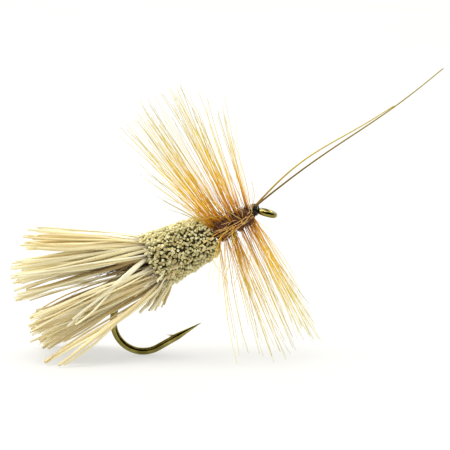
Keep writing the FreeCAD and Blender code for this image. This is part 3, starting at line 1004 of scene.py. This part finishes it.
def fur_hair(behind, radius, rng):
    """One short hair of the dubbing."""
    angle = rng.uniform(0, 360)
    root = on_shank(behind, radius, angle)
    lean = rng.uniform(-1.0, 1.0)
    tip = root + unit(outward(angle) + SHANK * lean) * rng.uniform(0.25, 0.75) * MM
    path = curve_points(root, outward(angle), tip, unit(tip - root), FUR_RINGS, 0.04 * MM, rng)
    return strand(path, np.linspace(0.026, 0.010, FUR_RINGS) * MM, rng.random())


def trapped_strand(front, rear, front_angle, rear_angle, rng):
    """A fibre that the hackle's turns have pressed along the thorax."""
    begin = on_shank(front * MM, 0.48 * MM, front_angle)
    finish = on_shank(rear * MM, 1.20 * MM, rear_angle)
    chord = unit(finish - begin)
    middle_out = outward((front_angle + rear_angle) / 2)
    leaving = unit(chord + 0.35 * middle_out)
    arriving = unit(chord + 0.15 * middle_out)
    path = curve_points(begin, leaving, finish, arriving, TRAPPED_RINGS, 0.06 * MM, rng)
    return strand(path, np.linspace(0.036, 0.024, TRAPPED_RINGS) * MM, rng.random())


def make_thorax(fur, trapped):
    """The furry underbody, and the long fibres caught across it on both sides."""
    _, end, front_r, rear_r = profile("thorax_underbody")
    rng = random.Random(61)
    vertices, faces, values = [], [], []
    outline = [(FUR_START, FUR_END_R)]
    for share in np.linspace(0, 1, 9):
        outline.append((mix(FUR_START, end, share), mix(front_r, rear_r, share)))
    outline.append((end, FUR_END_R))
    add_turned(vertices, faces, values, SHANK_LINE, outline, SKIN_CORNERS, 0.04, rng)
    fuzz = []
    for _ in range(FUR_HAIRS):
        share = rng.random()
        fuzz.append(fur_hair(mix(FUR_START, end, share), mix(front_r, rear_r, share) - 0.03 * MM, rng))
    add_strands(vertices, faces, values, fuzz, FUR_CORNERS)
    piece = mesh_piece("thorax_fur", vertices, faces, values, fur, "root")
    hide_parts("thorax_underbody")
    fibres = []
    for side in (-1, 1):
        for front, rear, front_angle, rear_angle in TRAPPED_FIBRES:
            fibres.append(trapped_strand(front, rear, side * front_angle, side * rear_angle, rng))
    strands_piece("trapped_fibres", fibres, TRAPPED_CORNERS, trapped)


def wound_layers(axis, node, turns, belly, layers):
    """Layers of thread that cross each other, just inside a CAD winding's surface."""
    start, end, front_r, rear_r = profile(node, axis)
    wound = []
    for layer in range(layers):
        points = []
        count = turns * 26
        for index in range(count + 1):
            share = index / count
            place = share if layer % 2 == 0 else 1 - share
            radius = mix(front_r, rear_r, place) - THREAD_R + belly * math.sin(math.pi * place)
            radius -= layer * 1.4 * THREAD_R
            behind = mix(start + THREAD_R, end - THREAD_R, place)
            points.append(on_line(axis, behind, radius, 360 * turns * share + 180 * layer))
        wound.append(strand(points, [THREAD_R * 1.12] * len(points), 0.5, 1.0, 0.0, PLAIN_END, axis[1]))
    return wound


def make_threads(thread):
    """Every thread winding, as real turns."""
    for node, name, axis, turns, belly, layers in (
        ("thread_head", "head_turns", HEAD_LINE, 6, HEAD_BELLY, 4),
        ("whip_finish", "whip_turns", HEAD_LINE, 2, 0.0, 3),
        ("tail_thread_band", "tail_band_turns", SHANK_LINE, 5, 0.0, 2),
        ("thread_base", "base_turns", SHANK_LINE, 112, 0.0, 1),
    ):
        wound = wound_layers(axis, node, turns, belly, layers)
        piece = strands_piece(name, wound, THREAD_CORNERS, thread)
        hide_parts(node)


def antenna_point(shape, share):
    """A point of the quill, which arches above its chord, bows inwards and sways."""
    behind, height, offset = ANTENNA_ROOT
    spread = math.radians(ANTENNA_SPREAD) * shape["side"]
    rise = math.radians(shape["rise"])
    level = np.array((math.cos(spread), math.sin(spread), 0.0))
    direction = level * math.cos(rise) + np.array((0, 0, math.sin(rise)))
    normal = np.array((0, 0, math.cos(rise))) - level * math.sin(rise)
    turn = math.pi * share
    above = shape["arch"] * math.sin(turn) + shape["sway"] * math.sin(2 * turn)
    inward = np.array((math.sin(spread), -math.cos(spread), 0.0)) * shape["side"]
    off = normal * above + inward * ANTENNA_BOW * math.sin(turn)
    root = on_shank(behind, height) + SIDE * (offset * shape["side"])
    return root + (direction * shape["length"] * share + off) * MM


def make_antenna(side, quill_material):
    """One whole quill, in one piece in place of the CAD base and tip."""
    shape = ANTENNAE[side]
    shares = np.linspace(-ANTENNA_SUNK, 1.0, ANTENNA_RINGS)
    path = [antenna_point(shape, share) for share in shares]
    radii = mix(*ANTENNA_RADII, np.clip(shares, 0, 1) ** 0.9)
    vertices, faces, values = [], [], []
    add_strands(vertices, faces, values, [strand(path, radii, 0.5, 0.85)], QUILL_CORNERS)
    piece = mesh_piece(f"antenna_{side}_quill", vertices, faces, values, quill_material, None)
    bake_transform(piece)
    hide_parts(f"antenna_{side}_base", f"antenna_{side}_tip")


def dress_cad(node, material):
    """A CAD node that shows as it is, with a finished material."""
    data = frame["nodes"][node].data
    data.materials.clear()
    data.materials.append(material)


# ---------------------------------------- studio


def make_floor():
    """A pale table, lit a little from within, so that shadows on it stay faint."""
    mesh = bpy.data.meshes.new("floor")
    corners = [(x * FLOOR_REACH, y * FLOOR_REACH, 0) for x, y in ((-1, -1), (1, -1), (1, 1), (-1, 1))]
    mesh.from_pydata(corners, [], [(0, 1, 2, 3)])
    shader = Shader("floor_white")
    grain = shader.noise(60.0, 2.0)
    shader.paint(shader.ramp(grain, [(0.3, (0.25, 0.25, 0.23)), (0.7, (0.27, 0.27, 0.25))]))
    shader.set(Roughness=0.6, Specular_IOR_Level=0.1)
    shader.set(Emission_Color=(1.0, 1.0, 1.0, 1.0), Emission_Strength=FLOOR_GLOW)
    mesh.materials.append(shader.material)
    floor = bpy.data.objects.new("floor", mesh)
    bpy.context.scene.collection.objects.link(floor)


def make_light(name, place, size, power):
    """A soft square light aimed at the fly."""
    data = bpy.data.lights.new(name, "AREA")
    data.size = size
    data.energy = power
    light = bpy.data.objects.new(name, data)
    light.location = place
    light.rotation_euler = (VIEW_CENTRE - Vector(place)).to_track_quat("-Z", "Y").to_euler()
    bpy.context.scene.collection.objects.link(light)


def make_flag():
    """A dark card that curves from in front of the fly to above it, which only gloss reflects."""
    corners = []
    for row in range(FLAG_STEPS + 1):
        rise = math.radians(mix(*FLAG_RISE, row / FLAG_STEPS))
        for column in range(FLAG_STEPS + 1):
            turn = math.radians(mix(*FLAG_TURN, column / FLAG_STEPS))
            level = FLAG_REACH * math.cos(rise)
            corners.append((level * math.sin(turn), -level * math.cos(turn), FLAG_REACH * math.sin(rise)))
    faces = []
    for row in range(FLAG_STEPS):
        for column in range(FLAG_STEPS):
            first = row * (FLAG_STEPS + 1) + column
            above = first + FLAG_STEPS + 1
            faces.append((first, first + 1, above + 1, above))
    mesh = bpy.data.meshes.new("flag")
    mesh.from_pydata(corners, [], faces)
    shader = Shader("flag_black")
    shader.set(Base_Color=(0.004, 0.004, 0.004, 1.0), Roughness=1.0, Specular_IOR_Level=0.0)
    mesh.materials.append(shader.material)
    flag = bpy.data.objects.new("flag", mesh)
    flag.visible_camera = False
    flag.visible_shadow = False
    flag.visible_diffuse = False
    flag.visible_transmission = False
    bpy.context.scene.collection.objects.link(flag)


def make_studio():
    """A white room with one soft light from above and behind."""
    scene = bpy.context.scene
    world = bpy.data.worlds.new("white_room")
    world.use_nodes = True
    world.node_tree.nodes["Background"].inputs["Color"].default_value = (1.0, 1.0, 1.0, 1.0)
    world.node_tree.nodes["Background"].inputs["Strength"].default_value = ROOM_LIGHT
    scene.world = world
    scene.view_settings.view_transform = "Standard"
    make_floor()
    make_light("key", KEY_PLACE, KEY_SIZE, KEY_POWER)
    make_flag()


def make_camera():
    """A long lens that looks slightly down at the fly."""
    data = bpy.data.cameras.new("camera")
    data.lens = CAMERA_LENS
    data.sensor_width = CAMERA_SENSOR
    data.clip_start = 0.005
    camera = bpy.data.objects.new("camera", data)
    elevation = math.radians(CAMERA_ELEVATION)
    distance = VIEW_WIDTH * CAMERA_LENS / CAMERA_SENSOR
    back = Vector((0.0, -math.cos(elevation), math.sin(elevation)))
    camera.location = VIEW_CENTRE + back * distance
    camera.rotation_euler = (math.pi / 2 - elevation, 0.0, 0.0)
    bpy.context.scene.collection.objects.link(camera)
    bpy.context.scene.camera = camera


def make_fly():
    """Every piece of the fly, with its material."""
    # The first stops colour the dark inner hair, painted partly as the shade inside the fan
    fan_tones = [
        (0.0, (0.09, 0.055, 0.022)),
        (0.12, (0.42, 0.29, 0.11)),
        (0.28, (0.76, 0.61, 0.29)),
        (0.60, (0.90, 0.80, 0.47)),
        (1.0, (0.97, 0.93, 0.72)),
    ]
    thread = black_thread()
    dress_cad("hook", bronze())
    dress_cad("head_lacquer", varnish())
    dress_cad("body_thread_bands", thread)
    make_body(clipped_hair(), painted_shade_core())
    make_fan(deer_hair("deer_hair_uncut", fan_tones, (0.10, 0.06, 0.03), 0.10, 0.5))
    make_underfur(underfur())
    for feather in ("front", "rear"):
        make_stem(feather, stem_quill())
    make_hackle(hackle_fibre())
    make_thorax(thorax_fur(), trapped_fibre())
    make_threads(thread)
    for side, root, middle, tip in (
        ("left", (0.34, 0.19, 0.02), (0.54, 0.41, 0.06), (0.50, 0.42, 0.10)),
        ("right", (0.15, 0.08, 0.01), (0.22, 0.15, 0.012), (0.38, 0.29, 0.05)),
    ):
        make_antenna(side, quill(f"antenna_quill_{side}", root, middle, tip))


make_studio()
make_camera()
make_fly()
